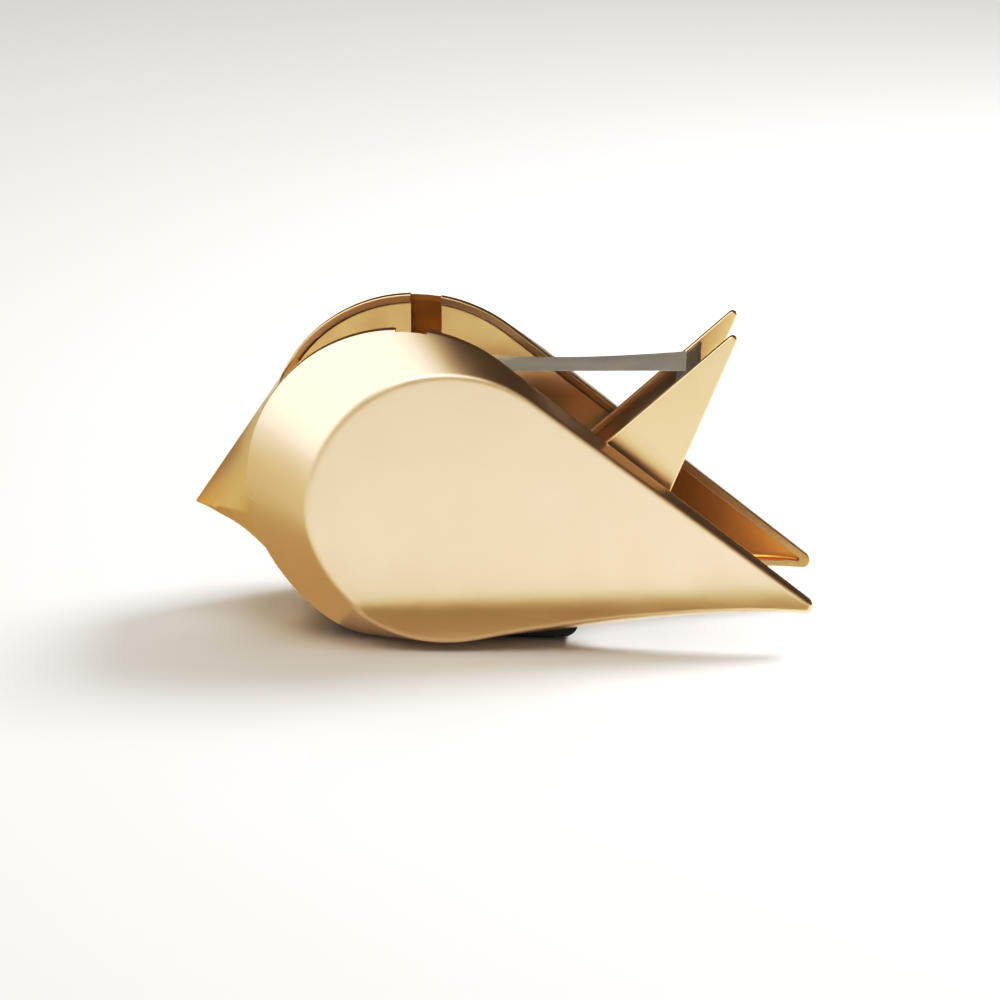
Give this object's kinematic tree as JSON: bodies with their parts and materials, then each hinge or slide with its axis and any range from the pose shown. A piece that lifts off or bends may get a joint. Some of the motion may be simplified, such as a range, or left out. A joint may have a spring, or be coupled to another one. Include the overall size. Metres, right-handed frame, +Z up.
{
  "type": "desktop tape dispenser",
  "caption": "Bird-shaped desktop tape dispenser with teardrop wing caps, a beak, twin tail fins, a serrated blade and a lift-out roll.",
  "frame": {"origin": "on the table, on the underside of the non-skid pad, below the middle of the bird's head", "axes": "+X from the beak to the tail, +Y from the right wing to the left wing, +Z up"},
  "size_m": [0.1725, 0.0608, 0.0886],
  "materials": {
    "gold_shell": "satin metallised gold",
    "gold_inside": "satin metallised gold, inner faces",
    "blade_steel": "fine brushed",
    "screw_steel": "turned",
    "matte_tape": "frosted translucent film",
    "core_board": "moulded",
    "hub_plastic": "moulded",
    "pad_rubber": "foamed",
    "base_plastic": "fine texture",
    "ballast_iron": "as cast"
  },
  "bodies": {
    "root": {"wing_cap_right": "gold_shell", "wing_cap_left": "gold_shell", "side_plate_right": "gold_inside", "side_plate_left": "gold_inside", "tail_fin_right": "gold_shell", "tail_fin_left": "gold_shell", "tail_ramp": "gold_inside", "beak": "gold_shell", "cutter_blade": "blade_steel", "cradle_floor": "gold_inside", "base_plate": "base_plastic", "non_skid_pad": "pad_rubber", "ballast_right": "ballast_iron", "ballast_left": "ballast_iron", "cap_screw_right_front": "screw_steel", "cap_screw_right_rear": "screw_steel", "cap_screw_left_front": "screw_steel", "cap_screw_left_rear": "screw_steel", "base_screw_right_front": "screw_steel", "base_screw_right_rear": "screw_steel", "base_screw_left_front": "screw_steel", "base_screw_left_rear": "screw_steel"},
    "tape_run": {"tape_leader": "matte_tape"},
    "roll": {"hub_spool": "hub_plastic", "tape_core": "core_board", "tape_roll": "matte_tape"}
  },
  "joints": [
    {"name": "roll_lift", "type": "slide", "parent": "root", "child": "tape_run", "axis": [0, 0, 1], "range_m": [0, 0.07]},
    {"name": "roll_spin", "type": "hinge", "parent": "tape_run", "child": "roll", "pos_m": [0.0025, 0, 0.0547], "axis": [0, 1, 0], "continuous": true}
  ]
}
